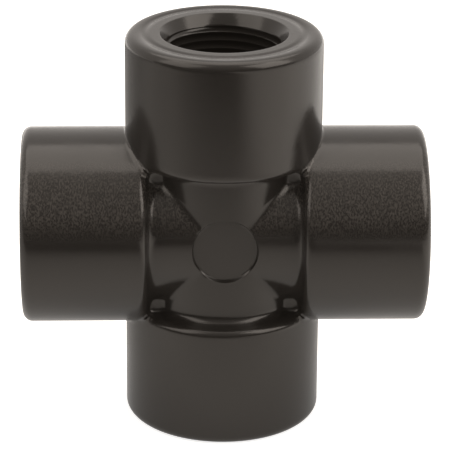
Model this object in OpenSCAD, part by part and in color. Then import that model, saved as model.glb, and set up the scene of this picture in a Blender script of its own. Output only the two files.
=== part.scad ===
// Cross fitting: one moulded body with four equal threaded pipe ports in one plane.
// Millimetres, +Z up. The origin is where the two port axes cross. The ports open
// along +X, -X, +Z and -Z, and the side towards -Y carries the round recess.

/* [Body] */
// Length from one port's end face to the opposite one
body_len = 106.7; // [100:0.1:125]
// Outside diameter of the four collars round the ports
collar_d = 52; // [50:0.1:56]
// Outside diameter of the two tubes that cross between the collars
hub_d = 41.6; // [39:0.1:43]
// Distance from the centre to a collar's inner shoulder
shoulder_at = 20.5; // [19.5:0.1:21.5]

/* [Moulded edges] */
// Radius of the rounded edge at each end face
end_round = 2.5; // [0.5:0.1:4]
// Radius of the rounded edge at each inner shoulder
shoulder_round = 1.4; // [0.4:0.1:2]
// Radius of the fillet where a collar meets its tube
root_fillet = 2.3; // [0.5:0.1:3]

/* [Ports] */
// Diameter of the threaded length, at the crests of its thread
port_d = 29.4; // [28:0.1:31]
// Diameter of the entry chamfer at the end face
mouth_d = 33.8; // [33:0.1:37]
// Depth of the entry chamfer
mouth_depth = 3.5; // [1:0.1:5]
// Depth from the end face to the seat at the bottom of the thread
port_depth = 24; // [20:0.1:28]
// Diameter of the waterway that joins the four ports
waterway_d = 27; // [20:0.1:27.5]

/* [Front recess] */
// Diameter of the blank round recess on the front
recess_d = 17.2; // [10:0.1:20]
// Depth of the recess below the tubes' surface
recess_depth = 0.6; // [0.2:0.1:1.2]

/* [Hidden] */
$fn = 96;
face_at = body_len / 2;
collar_r = collar_d / 2;
hub_r = hub_d / 2;
over = 1; // how far a cutting shape runs past the surface it cuts

// Square corner with its inner side rounded away, corner at the origin, filling -X -Y
module corner_cut(r) {
    translate([-r, -r]) difference() {
        square(r + over);
        circle(r);
    }
}

// Concave fillet in the corner between +X and -Y, corner at the origin
module corner_fill(r) {
    difference() {
        translate([-over, -r]) square([r + over, r + over]);
        translate([r, -r]) circle(r);
    }
}

// Half section of one arm's outside, from the centre out to the end face
module arm_section() {
    difference() {
        union() {
            square([hub_r, face_at]);
            translate([0, shoulder_at]) square([collar_r, face_at - shoulder_at]);
        }
        translate([collar_r, face_at]) corner_cut(end_round);
        translate([collar_r, shoulder_at]) mirror([0, 1]) corner_cut(shoulder_round);
    }
    translate([hub_r, shoulder_at]) corner_fill(root_fillet);
}

// Half section of one port: waterway, threaded length and entry chamfer
module port_section() {
    square([waterway_d / 2, face_at]);
    translate([0, face_at - port_depth]) square([port_d / 2, port_depth + over]);
    translate([0, face_at - mouth_depth])
        polygon([[0, 0], [port_d / 2, 0], [mouth_d / 2, mouth_depth], [mouth_d / 2, mouth_depth + over],
                 [0, mouth_depth + over]]);
}

// Solid of revolution of a half section and of its mirror image, so it runs through the centre
module through_turn() {
    rotate_extrude() {
        children();
        mirror([0, 1]) children();
    }
}

// The same shape along Z and along X
module both_axes() {
    children();
    rotate([0, 90, 0]) children();
}

// Disc across the front of the hub, less what lies under the recess's floor
module recess_tool() {
    difference() {
        rotate([90, 0, 0]) cylinder(h = hub_d, d = recess_d);
        both_axes() cylinder(h = 2 * hub_d, r = hub_r - recess_depth, center = true);
    }
}

module cross_body() {
    color("#3a3633") difference() {
        both_axes() through_turn() arm_section();
        both_axes() through_turn() port_section();
        recess_tool();
    }
}

cross_body();
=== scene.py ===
"""A black moulded pipe cross with four threaded ports, standing on a pale floor in soft studio light.

The outside, the bores and the threads are one closed surface, worked out in millimetres round the
point where the two port axes cross and put into the mesh in metres."""
import math

import bmesh
import bpy
import numpy as np
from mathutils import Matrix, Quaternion, Vector


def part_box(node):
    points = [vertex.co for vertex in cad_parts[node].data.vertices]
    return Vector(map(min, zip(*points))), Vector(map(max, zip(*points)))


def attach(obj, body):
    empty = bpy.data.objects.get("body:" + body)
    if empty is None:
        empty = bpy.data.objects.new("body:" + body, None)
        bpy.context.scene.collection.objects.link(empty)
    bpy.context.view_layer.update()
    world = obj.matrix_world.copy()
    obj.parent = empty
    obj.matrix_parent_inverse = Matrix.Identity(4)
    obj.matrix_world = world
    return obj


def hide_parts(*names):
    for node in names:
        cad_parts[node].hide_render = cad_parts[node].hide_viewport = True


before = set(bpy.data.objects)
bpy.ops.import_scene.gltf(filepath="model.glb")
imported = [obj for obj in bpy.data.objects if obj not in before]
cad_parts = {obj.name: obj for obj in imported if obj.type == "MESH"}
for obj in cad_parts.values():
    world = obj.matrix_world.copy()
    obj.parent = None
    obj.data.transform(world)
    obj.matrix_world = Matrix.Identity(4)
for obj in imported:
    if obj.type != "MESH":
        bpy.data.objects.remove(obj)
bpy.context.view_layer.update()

# Sizes in millimetres. The outermost ones come from the frame.
MM = 0.001
low_corner, high_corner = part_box("cross_body")
FACE = round(high_corner.x / MM, 2)      # centre to a port's end face
COLLAR = round(high_corner.y / MM, 1)    # outside radius of a collar
HUB = 20.8                               # outside radius of the two tubes that cross
SHOULDER = 20.5                          # centre to a collar's inner shoulder
SHOULDER_ROUND = 1.9                     # a little softer than the CAD's
ROOT_FILLET = 2.3                        # where a collar meets its tube
END_ROUND = 2.5
HUB_SEAM = 3.4                           # ball radius of the blend where the two tubes meet,
CORNER_SEAM = 2.0                        # near the window corners, where the fillets come in,
COLLAR_SEAM = 0.8                        # and where two neighbouring collars meet
SEAM_AT = (13.0, 17.4, 20.6, 22.4)       # places from the centre between which they change over
PAD = 13.5                               # height of the flat pad that fills each window corner
PAD_EDGE = 21.0                          # how far from the centre it reaches
PAD_SEAM = 2.0

# The round recess on the front
RECESS = 8.6                             # radius, most of the way up its sloping wall
RECESS_FLOOR = 19.6                      # its flat floor, from the centre
RECESS_WALL = 0.42                       # how wide the wall looks from the front
RECESS_EASE = 0.14                       # part of the wall that is rounded at either end
RECESS_CLEAR = 9.8                       # half width of the grid that is bent to full circles,
BENT_TO = 14.5                           # and of the grid that is bent at all

# One port, from its end face inwards
RIM_INNER, RIM_OUTER = 20.3, 21.8        # witness ring that the mould leaves on the end face
RIM_STEP = 0.07
MOUTH = 16.9                             # radius of the entry chamfer at the face
MOUTH_FALL = 2.2 / 3.5                   # how fast the chamfer narrows with depth
MOUTH_EDGE = 0.25                        # radius of the edge between face and chamfer
CREST = 14.85                            # radius over the thread crests, carried to the face
PITCH = 25.4 / 11.5
THREAD_HEIGHT = 0.8 * PITCH
TAPER = 1 / 32                           # on the radius, per millimetre of depth
FIRST_CREST = 4.65                       # depth of the first full crest at the back of the top port
THREAD_IN = (2.2, 4.6)                   # depths over which the thread grows to full height
THREAD_OUT = (20.6, 22.0)                # and runs out again
SEAT = 24.0
WATERWAY = 13.5

# Resolution
RING = 240                               # points round a collar
BORE_RING = RING // 2
FLOOR_LINES, TUBE_LINES = 14, 17         # grid lines on the recess's floor and on the tube
HAIR = 1e-4                              # step for a slope by differences


def smooth(low, high, value):
    """An even ramp from 0 at low to 1 at high: 3t^2 - 2t^3."""
    t = np.clip((value - low) / (high - low), 0, 1)
    return t * t * (3 - 2 * t)


# ---------------------------------------------------------------- the outside as a distance

def rounded_corner(a, b, radius):
    """Distance to the outer corner of two faces at distances a and b, rounded to the radius."""
    a, b = a + radius, b + radius
    return np.minimum(np.maximum(a, b), 0) + np.hypot(np.maximum(a, 0), np.maximum(b, 0)) - radius


def seam(a, b, cosine, radius):
    """Union of two solids at distances a and b, and how much each one counts at a point.

    In the groove a ball of the radius touches both: with p = radius - a and q = radius - b its
    surface lies at radius - sqrt((p^2 + q^2 - 2 p q c) / (1 - c^2)), where c is the cosine
    between the two solids' normals. Elsewhere the nearer solid counts alone."""
    c = np.clip(cosine, -0.5, 0.9995)
    p, q = radius - a, radius - b
    root = np.sqrt(np.maximum(p * p + q * q - 2 * p * q * c, 1e-12) * (1 - c * c))
    groove = (p > c * q) & (q > c * p)
    value = np.where(groove, radius - root / (1 - c * c), np.minimum(a, b))
    share_a = np.where(groove, (p - c * q) / root, a <= b)
    share_b = np.where(groove, (q - c * p) / root, a > b)
    return value, share_a, share_b


def run_distance(along, out):
    """Distance to one straight run: a tube with a collar on each end, filleted at the root."""
    along = np.abs(along)
    tube = np.maximum(out - HUB, along - FACE + END_ROUND)
    inner = rounded_corner(SHOULDER - along, out - COLLAR, SHOULDER_ROUND)
    collar = np.maximum(inner, rounded_corner(along - FACE, out - COLLAR, END_ROUND))
    return seam(tube, collar, 0.0, ROOT_FILLET)[0]


def run_x(points):
    """Distance to the run along X."""
    return run_distance(points[..., 0], np.hypot(points[..., 1], points[..., 2]))


def run_z(points):
    """Distance to the run along Z."""
    return run_distance(points[..., 2], np.hypot(points[..., 0], points[..., 1]))


def slope(distance, points):
    """Gradient of a distance, by central differences a hair apart."""
    steps = np.eye(3) * HAIR
    sides = [(distance(points + s) - distance(points - s)) / (2 * HAIR) for s in steps]
    return np.stack(sides, axis=-1)


def outside(points):
    """Distance to the whole outside and its gradient: the two runs, blended where they meet, and
    the flat pad in each corner of the hub's windows, |y| = PAD."""
    a, b = run_x(points), run_z(points)
    normal_a, normal_b = slope(run_x, points), slope(run_z, points)
    size = np.abs(points[..., [0, 2]]).max(axis=-1)
    radius = np.interp(size, SEAM_AT, [HUB_SEAM, CORNER_SEAM, CORNER_SEAM, COLLAR_SEAM])
    value, share_a, share_b = seam(a, b, (normal_a * normal_b).sum(-1), radius)
    normal = share_a[..., None] * normal_a + share_b[..., None] * normal_b
    pad = np.maximum(np.abs(points[..., 1]) - PAD, size - PAD_EDGE)
    pad_normal = np.sign(points[..., 1:2]) * [0.0, 1.0, 0.0]
    value, share_a, share_b = seam(value, pad, (normal * pad_normal).sum(-1), PAD_SEAM)
    return value, share_a[..., None] * normal + share_b[..., None] * pad_normal


def settle(points, straight=False):
    """Moves points onto the outside by Newton steps, p - F n / (n.d) d, where F is the distance.
    The direction d is the surface's own normal n, or Y where straight is true."""
    points = points.copy()
    for _ in range(8):
        value, normal = outside(points)
        ahead = np.where(np.asarray(straight)[..., None], [0.0, 1.0, 0.0], normal)
        fall = (normal * ahead).sum(-1)  # kept clear of 0, where a step would run away
        fall = np.where(np.abs(fall) < 0.2, 0.2 * np.sign(fall + 1e-9), fall)
        points -= np.clip(value / fall, -1.0, 1.0)[..., None] * ahead
    return points


# ---------------------------------------------------------------- grid lines of the centre

def arc(radius, degrees):
    """Sine and cosine arms of a radius at angles in degrees."""
    turn = np.radians(degrees)
    return radius * np.sin(turn), radius * np.cos(turn)


def centre_lines():
    """Grid lines from the centre out to the corner between two collars.

    Three columns: how far the line lies from the centre, how far the arm's outside is from its
    own axis there, and how much of the way down to the recess's floor the line goes. Across the
    wall that share falls evenly, eased at both ends by a quarter of a sine."""
    part = np.array([0, 0.6, 1.2, 2, 4, 6, 6.8, 7.4, 8]) / 8
    inwards = np.minimum(part, 1 - part)
    lost = RECESS_EASE * (1 - 2 / np.pi)
    eased = (RECESS_EASE - lost) * (1 - np.cos(np.pi / 2 * inwards / RECESS_EASE))
    climb = np.where(inwards < RECESS_EASE, eased, inwards - lost)
    climb = np.where(part < 0.5, climb, 1 - 2 * lost - climb)
    wall = RECESS + RECESS_WALL * (part - 0.7)
    wall_share = 1 - climb / climb[-1]
    floor = np.linspace(0, wall[0] - 0.4, FLOOR_LINES)
    tube_end = SHOULDER - ROOT_FILLET
    tube = np.linspace(wall[-1], tube_end, TUBE_LINES + 1)[1:]
    hub_at = np.concatenate([floor, wall, tube])
    share = np.concatenate([np.ones(FLOOR_LINES), wall_share, np.zeros(TUBE_LINES)])

    fan = 0.03  # keeps the two lines on the shoulder plane apart
    fillet_x, fillet_y = arc(ROOT_FILLET, np.arange(15, 91, 15))
    fillet_at = tube_end + fillet_x - fan * (fillet_x == fillet_x[-1])
    round_y, round_x = arc(SHOULDER_ROUND, np.arange(0, 91, 18))
    round_at = SHOULDER + SHOULDER_ROUND - round_x + fan * (round_x == round_x[0])
    corner = COLLAR + COLLAR_SEAM * (1 - math.sqrt(0.5))
    start = math.asin(round_at[-1] / corner)
    collar_at = corner * np.sin(np.linspace(start, math.pi / 2, 10)[1:])

    at = np.concatenate([hub_at, fillet_at, round_at, collar_at])
    reach = np.concatenate([
        np.full(len(hub_at), HUB),
        HUB + ROOT_FILLET - fillet_y,
        COLLAR - SHOULDER_ROUND + round_y,
        np.full(len(collar_at), corner),
    ])
    share = np.concatenate([share, np.zeros(len(at) - len(share))])
    return at, reach, share


def centre_patch(recessed):
    """The middle of the front, out to where the four arms begin, as a square grid of points.

    Each point starts on the nearest of the two runs, y = -sqrt(reach^2 - other^2), and the corner
    pads, and is then settled. Round the recess the grid's squares are bent to circles: a square's
    side of half width s is wrapped over a quarter turn, and blends back to a straight side further
    out. The recess is that surface carried towards its flat floor, y + share (-floor - y)."""
    at, reach, share = centre_lines()
    line = np.concatenate([-at[:0:-1], at])
    reach = np.concatenate([reach[:0:-1], reach])
    x, z = np.meshgrid(line, line, indexing="ij")
    size = np.maximum(np.abs(x), np.abs(z))
    safe = np.maximum(size, 1e-9)
    upright = np.abs(z) > np.abs(x)
    quarter = np.pi / 4 * np.where(upright, x, z) / safe
    main, other = size * np.cos(quarter), size * np.sin(quarter)
    round_x = np.where(upright, other, np.sign(x) * main)
    round_z = np.where(upright, np.sign(z) * main, other)
    bend = 1 - smooth(RECESS_CLEAR, BENT_TO, size)
    x, z = x + bend * (round_x - x), z + bend * (round_z - z)
    rise = np.maximum(reach[None, :] ** 2 - x ** 2, reach[:, None] ** 2 - z ** 2)
    least = np.where(size < PAD_EDGE, PAD, 0.0)
    points = np.stack([x, -np.sqrt(np.maximum(rise, least ** 2)), z], axis=-1)
    points = settle(points, size < RECESS_CLEAR)
    if recessed:
        points[..., 1] -= np.interp(size, at, share) * (RECESS_FLOOR + points[..., 1])
    return points


# ---------------------------------------------------------------- arms and ports

def wheel(radius, along, angles):
    """A ring of points round Z at a height, or several rings if radius and along are columns."""
    radius, along = np.broadcast_arrays(np.asarray(radius, float), np.asarray(along, float))
    return np.stack([radius * np.cos(angles), radius * np.sin(angles),
                     along + 0 * angles], axis=-1)


def even_angles(count):
    """Angles of a ring that starts at -X and turns past the front, with whole turns exact."""
    return np.pi + 2 * np.pi * (np.arange(count + 1) % count) / count


def arm_outside(edge):
    """Rings of the top arm from the centre patch's edge out to the face, ending with its witness
    ring. The first ring is the edge itself, whose uneven angles even out along the collar."""
    start = np.unwrap(np.arctan2(edge[:, 1], edge[:, 0]))
    start += np.pi - start[0]
    even = np.pi + np.linspace(0, 2 * np.pi, RING + 1)
    near = COLLAR + COLLAR_SEAM * np.array([0.5, 0.75, 1.0])
    shared = settle(wheel(COLLAR, near[:, None], start[None, :]))
    shared[:, -1] = shared[:, 0]
    clear = np.linspace(COLLAR + 2 * COLLAR_SEAM, FACE - END_ROUND - 0.4, 6)
    mix = np.linspace(0.15, 1, 6)[:, None]
    tube = wheel(COLLAR, clear[:, None], start + mix * (even - start))
    angles = even_angles(RING)[None, :]
    curve_out, curve_up = arc(END_ROUND, np.arange(90, -1, -11.25))
    turn = wheel((COLLAR - END_ROUND + curve_out)[:, None],
                 (FACE - END_ROUND + curve_up)[:, None], angles)
    step = 0.1
    face_r = np.array([COLLAR - END_ROUND - 0.3, RIM_OUTER + step, RIM_OUTER, RIM_INNER,
                       RIM_INNER - step, RIM_INNER - 1.2])
    face_z = FACE - RIM_STEP * np.array([0, 0, 1, 1, 0, 0])
    face = wheel(face_r[:, None], face_z[:, None], angles)
    return np.concatenate([edge[None], shared, tube, turn, face])


def halving(outer, inner):
    """Triangles between a ring and one with half its points; indices of both are given."""
    a, b, c = outer[:-1:2], outer[1::2], outer[2::2]
    d, e = inner[:-1], inner[1:]
    return np.concatenate([np.stack(t, axis=-1) for t in ((a, b, d), (b, e, d), (b, c, e))])


def thread_radius(depth, angles):
    """Radius of the threaded bore at a depth and angle.

    The 60 degree ridge is flat over a twelfth of the pitch at its crest and root and straight
    between them. It follows a right-hand helix, tapers with depth, and grows out of the entry
    chamfer, which cuts it away wherever the chamfer is wider."""
    turns = (depth - FIRST_CREST) / PITCH + (angles - 2.5 * np.pi) / (2 * np.pi)
    part = np.abs(turns - np.round(turns)) * 2
    cut = np.clip((part - 1 / 12) / (10 / 12), 0, 1)
    grown = smooth(*THREAD_IN, depth) * (1 - smooth(*THREAD_OUT, depth))
    thread = CREST - TAPER * depth + THREAD_HEIGHT * cut * grown
    return np.maximum(thread, MOUTH - MOUTH_FALL * depth)


def port_rings():
    """Rings of the top port from the flat face, over the edge, down the chamfer and the thread,
    to the seat and along the waterway to where the four waterways meet.

    The thread's rows follow the helix, eight to a pitch. They begin a turn early and are held
    between the first and last thread depth, so that rows which would leave the thread fall
    together on its ends and the rows on both sides of the seam agree."""
    angles = even_angles(BORE_RING)
    part = np.arange(BORE_RING + 1) / BORE_RING
    slant = math.atan(1 / MOUTH_FALL)
    edge_turn = np.linspace(0, slant, 4)
    edge_r = MOUTH + MOUTH_EDGE * (math.tan(slant / 2) - np.sin(edge_turn))
    edge_z = FACE - MOUTH_EDGE * (1 - np.cos(edge_turn))
    flat_r = np.array([RIM_INNER - 2.0, MOUTH + 0.6])
    mouth = wheel(np.concatenate([flat_r, edge_r])[:, None],
                  np.concatenate([flat_r * 0 + FACE, edge_z])[:, None], angles)

    first, last = THREAD_IN[0], THREAD_OUT[1]
    row_parts = np.array([1, 4.4, 7.6, 11]) / 24
    row_parts = np.concatenate([row_parts, 1 - row_parts[::-1]])
    turn_count = math.ceil((last - first) / PITCH) + 1
    rows = (np.arange(-1, turn_count)[:, None] + row_parts).ravel()
    lead = (FIRST_CREST - first) / PITCH + 0.75
    depth = first + (rows[:, None] + lead % 1 - part) * PITCH
    depth = np.clip(depth, first, last)
    depth = np.concatenate([np.full((1, len(part)), first), depth, np.full((1, len(part)), last)])
    turned = np.pi + 2 * np.pi * part
    radius = thread_radius(depth, turned)
    thread = wheel(radius, FACE - depth, angles)

    end_r = CREST - TAPER * SEAT
    seat = wheel(np.array([end_r, WATERWAY])[:, None], FACE - SEAT, angles)
    meeting = WATERWAY * np.abs(np.cos(angles))
    share = np.array([0.35, 0.7, 1.0])[:, None]
    water = wheel(WATERWAY, (FACE - SEAT) * (1 - share) + meeting * share, angles)
    return np.concatenate([mouth, thread, seat, water])


# ---------------------------------------------------------------- putting the mesh together

def grid_triangles(rows, columns, rising):
    """Two triangles to each cell of a grid. Where rising is true the cell is split from its
    first corner to the opposite one, else across the other two."""
    index = np.arange(rows * columns).reshape(rows, columns)
    a, b = index[:-1, :-1].ravel(), index[1:, :-1].ravel()
    c, d = index[1:, 1:].ravel(), index[:-1, 1:].ravel()
    rising = np.broadcast_to(rising, (rows - 1, columns - 1)).ravel()[:, None]
    first = np.where(rising, np.stack([a, b, c], -1), np.stack([a, b, d], -1))
    second = np.where(rising, np.stack([a, c, d], -1), np.stack([b, c, d], -1))
    return np.concatenate([first, second])


def quarter_turns(points, count):
    """Points turned about Y by quarter turns, which carries the top arm to the right one."""
    x, y, z = points[..., 0], points[..., 1], points[..., 2]
    for _ in range(count):
        x, z = z, -x
    return np.stack([x, y, z], axis=-1)


def body_surface():
    """All points and triangles of the fitting, with seams still double."""
    parts = []
    front = centre_patch(recessed=True)
    back = centre_patch(recessed=False) * [1, -1, 1]
    count = front.shape[0]
    cell = np.arange(count - 1) - (count - 1) / 2 + 0.5
    rising = cell[:, None] * cell[None, :] > 0
    for patch in (front, back):
        parts.append((patch.reshape(-1, 3), grid_triangles(count, count, rising)))

    edge = np.concatenate([front[:, -1], back[-2::-1, -1]])
    outer = arm_outside(edge)
    port = port_rings()
    outer_rows, outer_columns = outer.shape[:2]
    port_rows, port_columns = port.shape[:2]
    outer_count = outer_rows * outer_columns
    arm_points = np.concatenate([outer.reshape(-1, 3), port.reshape(-1, 3)])
    arm_triangles = np.concatenate([
        grid_triangles(outer_rows, outer_columns, True),
        grid_triangles(port_rows, port_columns, True) + outer_count,
        halving(outer_count - outer_columns + np.arange(outer_columns),
                outer_count + np.arange(port_columns)),
    ])
    for turns in range(4):
        parts.append((quarter_turns(arm_points, turns), arm_triangles))

    offsets = np.cumsum([0] + [len(points) for points, _ in parts[:-1]])
    points = np.concatenate([points for points, _ in parts])
    triangles = np.concatenate([tri + start for (_, tri), start in zip(parts, offsets)])
    return points, triangles


def mesh_piece(name, points, triangles, sharp_degrees):
    """A piece from points in millimetres: seams welded, faces turned outwards, edges that bend
    more than the given angle kept sharp."""
    mesh = bpy.data.meshes.new(name)
    mesh.from_pydata((points * MM).tolist(), [], triangles.tolist())
    bm = bmesh.new()
    bm.from_mesh(mesh)
    bmesh.ops.remove_doubles(bm, verts=bm.verts, dist=0.002 * MM)
    bmesh.ops.recalc_face_normals(bm, faces=bm.faces)
    bm.to_mesh(mesh)
    bm.free()
    mesh.shade_smooth()
    mesh.set_sharp_from_angle(angle=math.radians(sharp_degrees))
    piece = bpy.data.objects.new(name, mesh)
    bpy.context.scene.collection.objects.link(piece)
    return piece


# ---------------------------------------------------------------- materials

def linear(hex_colour):
    """An sRGB hex colour as linear red, green, blue and alpha."""
    parts = [int(hex_colour[i:i + 2], 16) / 255 for i in (1, 3, 5)]
    return tuple(p / 12.92 if p <= 0.04045 else ((p + 0.055) / 1.055) ** 2.4 for p in parts) + (1,)


def add_node(tree, kind, settings=None, inputs=None):
    """Adds a node, sets its properties, and sets each named or numbered input to a value, or
    links it when the value is another node's output."""
    node = tree.nodes.new(kind)
    for key, value in (settings or {}).items():
        setattr(node, key, value)
    for key, value in (inputs or {}).items():
        if isinstance(value, bpy.types.NodeSocket):
            tree.links.new(value, node.inputs[key])
        else:
            node.inputs[key].default_value = value
    return node


def new_material(name):
    """An empty node material, its tree and its output node."""
    material = bpy.data.materials.new(name)
    material.use_nodes = True
    material.node_tree.nodes.clear()
    return material, material.node_tree


def moulded_polypropylene():
    """Glass-filled polypropylene, injection moulded in black: a satin skin with a faint
    orange-peel, slightly patchy in gloss where the melt flowed, and fine pale dust on the upper
    sides of the level arms, in grains drawn out round the collars. Their tops are wiped clean.

    The peel's bumps are about 1.1 mm apart and the patches about 8 mm. Real dust is finer than
    its grains here, about 0.4 by 0.7 mm, which are as coarse as they need to be to show."""
    material, tree = new_material("moulded_glass_filled_polypropylene")
    coordinates = add_node(tree, "ShaderNodeTexCoord")
    place = coordinates.outputs["Object"]
    per_mm = 1 / MM
    peel = add_node(tree, "ShaderNodeTexNoise", {}, {
        "Vector": place, "Scale": 0.9 * per_mm, "Detail": 2.0, "Roughness": 0.6})
    bump = add_node(tree, "ShaderNodeBump", {}, {
        "Height": peel.outputs["Fac"], "Strength": 1.0, "Distance": 0.02 * MM})
    flow = add_node(tree, "ShaderNodeTexNoise", {}, {
        "Vector": place, "Scale": 0.12 * per_mm, "Detail": 3.0, "Roughness": 0.55})
    gloss = add_node(tree, "ShaderNodeMapRange", {}, {
        "Value": flow.outputs["Fac"], "From Min": 0.3, "From Max": 0.7, "To Min": 0.15,
        "To Max": 0.23})

    drawn = add_node(tree, "ShaderNodeMapping", {}, {
        "Vector": place, "Scale": (2.6 * per_mm, 1.5 * per_mm, 1.5 * per_mm)})
    grain = add_node(tree, "ShaderNodeTexNoise", {}, {
        "Vector": drawn.outputs["Vector"], "Scale": 1.0, "Detail": 1.0, "Roughness": 0.5})
    grains = add_node(tree, "ShaderNodeMapRange", {}, {
        "Value": grain.outputs["Fac"], "From Min": 0.42, "From Max": 0.68, "To Max": 0.19})
    facing = add_node(tree, "ShaderNodeSeparateXYZ", {}, {"Vector": coordinates.outputs["Normal"]})
    upward = add_node(tree, "ShaderNodeMapRange", {"interpolation_type": "SMOOTHSTEP"}, {
        "Value": facing.outputs["Z"], "From Min": 0.15, "From Max": 0.45})
    wiped = add_node(tree, "ShaderNodeMapRange", {"interpolation_type": "SMOOTHSTEP"}, {
        "Value": facing.outputs["Z"], "From Min": 0.92, "From Max": 0.68})
    resting = add_node(tree, "ShaderNodeMath", {"operation": "MULTIPLY"}, {
        0: upward.outputs["Result"], 1: wiped.outputs["Result"]})
    # The level arms face up between 1 mm below the centre and 29 mm above it
    height = add_node(tree, "ShaderNodeSeparateXYZ", {}, {"Vector": place})
    arms = add_node(tree, "ShaderNodeMath", {"operation": "COMPARE"}, {
        0: height.outputs["Z"], 1: 14 * MM, 2: 15 * MM})
    grained = add_node(tree, "ShaderNodeMath", {"operation": "MULTIPLY"}, {
        0: grains.outputs["Result"], 1: resting.outputs[0]})
    dust = add_node(tree, "ShaderNodeMath", {"operation": "MULTIPLY"}, {
        0: grained.outputs[0], 1: arms.outputs[0]})
    colour = add_node(tree, "ShaderNodeMix", {"data_type": "RGBA"}, {
        "Factor": dust.outputs[0], 6: linear("#1c1a18"), 7: linear("#6e6862")})
    shader = add_node(tree, "ShaderNodeBsdfPrincipled", {}, {
        "Base Color": colour.outputs[2], "Roughness": gloss.outputs["Result"], "IOR": 1.47,
        "Specular Tint": linear("#fffaf4"), "Normal": bump.outputs["Normal"]})
    add_node(tree, "ShaderNodeOutputMaterial", {}, {"Surface": shader.outputs["BSDF"]})
    return material


def matte_card(name, hex_colour, glow):
    """Plain matte card or paper for the studio, with a little glow of its own if wanted."""
    material, tree = new_material(name)
    shader = add_node(tree, "ShaderNodeBsdfPrincipled", {}, {
        "Base Color": linear(hex_colour), "Roughness": 0.9, "Specular IOR Level": 0.0,
        "Emission Color": linear("#ffffff"), "Emission Strength": glow})
    add_node(tree, "ShaderNodeOutputMaterial", {}, {"Surface": shader.outputs["BSDF"]})
    return material


# ---------------------------------------------------------------- studio

WARM = (0.94, 0.89)                      # green and blue of the light, against its red
# Light of the room by degrees up from the front horizon, over the top, to the back horizon
ROOM = [(0, 0.04), (11, 0.06), (25, 0.20), (40, 0.40), (62, 0.55), (75, 0.78), (90, 0.95),
        (110, 0.95), (130, 0.9), (150, 0.9), (180, 1.0)]
# How dense the gauze is along Y, in metres
GAUZE = [(0.12, 0.74), (0.02, 0.56), (-0.05, 0.36), (-0.086, 0.43), (-0.11, 0.48),
         (-0.164, 0.565), (-0.21, 0.70), (-0.283, 0.81), (-0.287, 1.0)]


def flat_card(name, corners, material):
    """A flat studio card with its corners in metres, in order."""
    mesh = bpy.data.meshes.new(name)
    mesh.from_pydata(corners, [], [(0, 1, 2, 3)])
    mesh.materials.append(material)
    card = bpy.data.objects.new(name, mesh)
    bpy.context.scene.collection.objects.link(card)
    return card


def add_floor():
    """A pale floor at the lowest point of the fitting, wide enough for any view."""
    level = low_corner.z
    wide = 12.0
    corners = [(-wide, -wide, level), (wide, -wide, level), (wide, wide, level), (-wide, wide, level)]
    return flat_card("studio_floor", corners, matte_card("pale_floor_paper", "#d8d4ce", 0.80))


def graded_flag():
    """Black gauze on the floor, seen only in reflections: thin just ahead of the fitting, thicker
    behind it, on its left and further ahead, and solid past a straight edge there."""
    material, tree = new_material("graded_black_gauze")
    place = add_node(tree, "ShaderNodeTexCoord").outputs["Object"]
    axes = add_node(tree, "ShaderNodeSeparateXYZ", {}, {"Vector": place})
    near, far = GAUZE[0][0], -0.30
    ahead = add_node(tree, "ShaderNodeMapRange", {}, {
        "Value": axes.outputs["Y"], "From Min": near, "From Max": far})
    ramp = add_node(tree, "ShaderNodeValToRGB", {}, {"Fac": ahead.outputs["Result"]})
    fill_ramp(ramp, [((y - near) / (far - near), level, level, level) for y, level in GAUZE])
    right = add_node(tree, "ShaderNodeMapRange", {"interpolation_type": "SMOOTHSTEP"}, {
        "Value": axes.outputs["X"], "From Min": 0.06, "From Max": 0.20, "To Min": 1.0,
        "To Max": 0.35})
    left = add_node(tree, "ShaderNodeMapRange", {"interpolation_type": "SMOOTHSTEP"}, {
        "Value": axes.outputs["X"], "From Min": -0.06, "From Max": -0.25, "To Max": 0.56})
    front = add_node(tree, "ShaderNodeMath", {"operation": "MULTIPLY"}, {
        0: ramp.outputs["Color"], 1: right.outputs["Result"]})
    dense = add_node(tree, "ShaderNodeMath", {"operation": "MAXIMUM"}, {
        0: front.outputs[0], 1: left.outputs["Result"]})
    clear = add_node(tree, "ShaderNodeBsdfTransparent")
    black = add_node(tree, "ShaderNodeBsdfDiffuse", {}, {"Color": linear("#050505")})
    mix = add_node(tree, "ShaderNodeMixShader", {}, {
        0: dense.outputs[0], 1: clear.outputs[0], 2: black.outputs[0]})
    add_node(tree, "ShaderNodeOutputMaterial", {}, {"Surface": mix.outputs[0]})
    return material


def add_front_flag():
    """The gauze card on the floor. It gives the gloss its dark band with a clean lower edge."""
    level = low_corner.z + 0.5 * MM
    back, far, half = 0.4, -6.0, 3.0
    corners = [(-half, far, level), (half, far, level), (half, back, level), (-half, back, level)]
    flag = flat_card("front_flag", corners, graded_flag())
    flag.visible_camera = False
    flag.visible_diffuse = False
    flag.visible_shadow = False
    flag.visible_transmission = False
    return flag


def fill_ramp(node, stops):
    """Gives a colour ramp its stops: position, red, green, blue."""
    elements = node.color_ramp.elements
    while len(elements) < len(stops):
        elements.new(0.5)
    for element, (position, *colour) in zip(elements, stops):
        element.position = position
        element.color = (*colour, 1)


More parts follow.
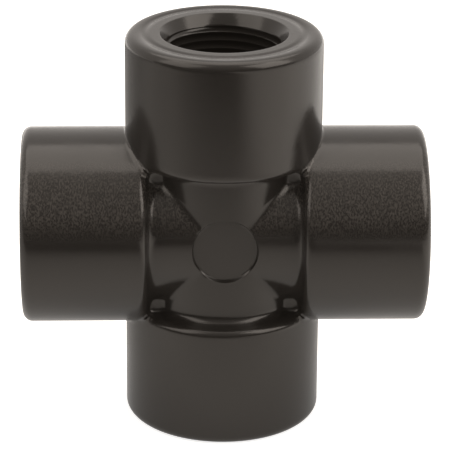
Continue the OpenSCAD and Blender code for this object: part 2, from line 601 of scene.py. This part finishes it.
def add_world():
    """A pale room: white where the camera sees it, and for the light dim low in front of the
    fitting, brighter above and behind, and a little warm."""
    world = bpy.data.worlds.new("pale_room")
    world.use_nodes = True
    tree = world.node_tree
    tree.nodes.clear()
    way = add_node(tree, "ShaderNodeTexCoord").outputs["Generated"]
    axes = add_node(tree, "ShaderNodeSeparateXYZ", {}, {"Vector": way})
    forward = add_node(tree, "ShaderNodeMath", {"operation": "MULTIPLY"}, {
        0: axes.outputs["Y"], 1: -1.0})
    turn = add_node(tree, "ShaderNodeMath", {"operation": "ARCTAN2"}, {
        0: axes.outputs["Z"], 1: forward.outputs[0]})
    over = add_node(tree, "ShaderNodeMapRange", {}, {
        "Value": turn.outputs[0], "From Min": 0.0, "From Max": math.pi})
    sky = add_node(tree, "ShaderNodeValToRGB", {}, {"Fac": over.outputs["Result"]})
    fill_ramp(sky, [(degrees / 180, level, level * WARM[0], level * WARM[1])
                    for degrees, level in ROOM])
    seen = add_node(tree, "ShaderNodeBackground", {}, {"Color": linear("#ffffff"), "Strength": 1.0})
    light = add_node(tree, "ShaderNodeBackground", {}, {"Color": sky.outputs["Color"]})
    ray = add_node(tree, "ShaderNodeLightPath")
    mix = add_node(tree, "ShaderNodeMixShader", {}, {
        0: ray.outputs["Is Camera Ray"], 1: light.outputs[0], 2: seen.outputs[0]})
    add_node(tree, "ShaderNodeOutputWorld", {}, {"Surface": mix.outputs[0]})
    bpy.context.scene.world = world


def add_softbox(name, across, up, distance, width, height, radiance):
    """A soft rectangular lamp aimed at the fitting from a direction in degrees, across from the
    front towards +X and up. Its power is radiance times pi times its area."""
    across, up = math.radians(across), math.radians(up)
    place = distance * Vector((math.cos(up) * math.sin(across), -math.cos(up) * math.cos(across),
                               math.sin(up)))
    lamp = bpy.data.lights.new(name, "AREA")
    lamp.shape = "RECTANGLE"
    lamp.size, lamp.size_y = width, height
    lamp.energy = radiance * math.pi * width * height
    lamp.color = (1.0, *WARM)
    box = bpy.data.objects.new(name, lamp)
    bpy.context.scene.collection.objects.link(box)
    box.location = place
    box.rotation_mode = "QUATERNION"
    box.rotation_quaternion = (-place).to_track_quat("-Z", "Y")
    box.visible_camera = False


def add_camera():
    """A long lens a little to the left and well above the fitting, looking down on it."""
    across, up, distance = math.radians(-1.84), math.radians(21.9), 0.7332
    place = distance * Vector((math.cos(up) * math.sin(across), -math.cos(up) * math.cos(across),
                               math.sin(up)))
    lens = bpy.data.cameras.new("camera")
    lens.sensor_width = 36.0
    lens.lens = 219.3
    lens.shift_x, lens.shift_y = 0.0044, -0.0053
    lens.clip_end = 100.0
    camera = bpy.data.objects.new("camera", lens)
    bpy.context.scene.collection.objects.link(camera)
    camera.location = place
    camera.rotation_mode = "QUATERNION"
    roll = Quaternion((0, 0, 1), math.radians(0.42))
    camera.rotation_quaternion = (-place).to_track_quat("-Z", "Y") @ roll
    bpy.context.scene.camera = camera


def set_view():
    """Plain sRGB, with the blacks lifted a little and warmly, as glare in a long lens does."""
    view = bpy.context.scene.view_settings
    view.view_transform = "Standard"
    view.use_curve_mapping = True
    view.curve_mapping.black_level = (-0.0042, -0.0034, -0.0027)


points, triangles = body_surface()
body = mesh_piece("moulded_cross", points, triangles, 35)
body.data.materials.append(moulded_polypropylene())
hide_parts("cross_body")
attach(body, "root")

add_floor()
add_front_flag()
add_world()
add_softbox("overhead_softbox", 180, 75, 1.0, 1.3, 0.78, 1.6)
add_softbox("right_softbox", 62, 42, 1.0, 0.7, 0.8, 2.7)
add_softbox("left_softbox", -62, 42, 1.0, 0.7, 0.8, 1.6)
add_camera()
set_view()
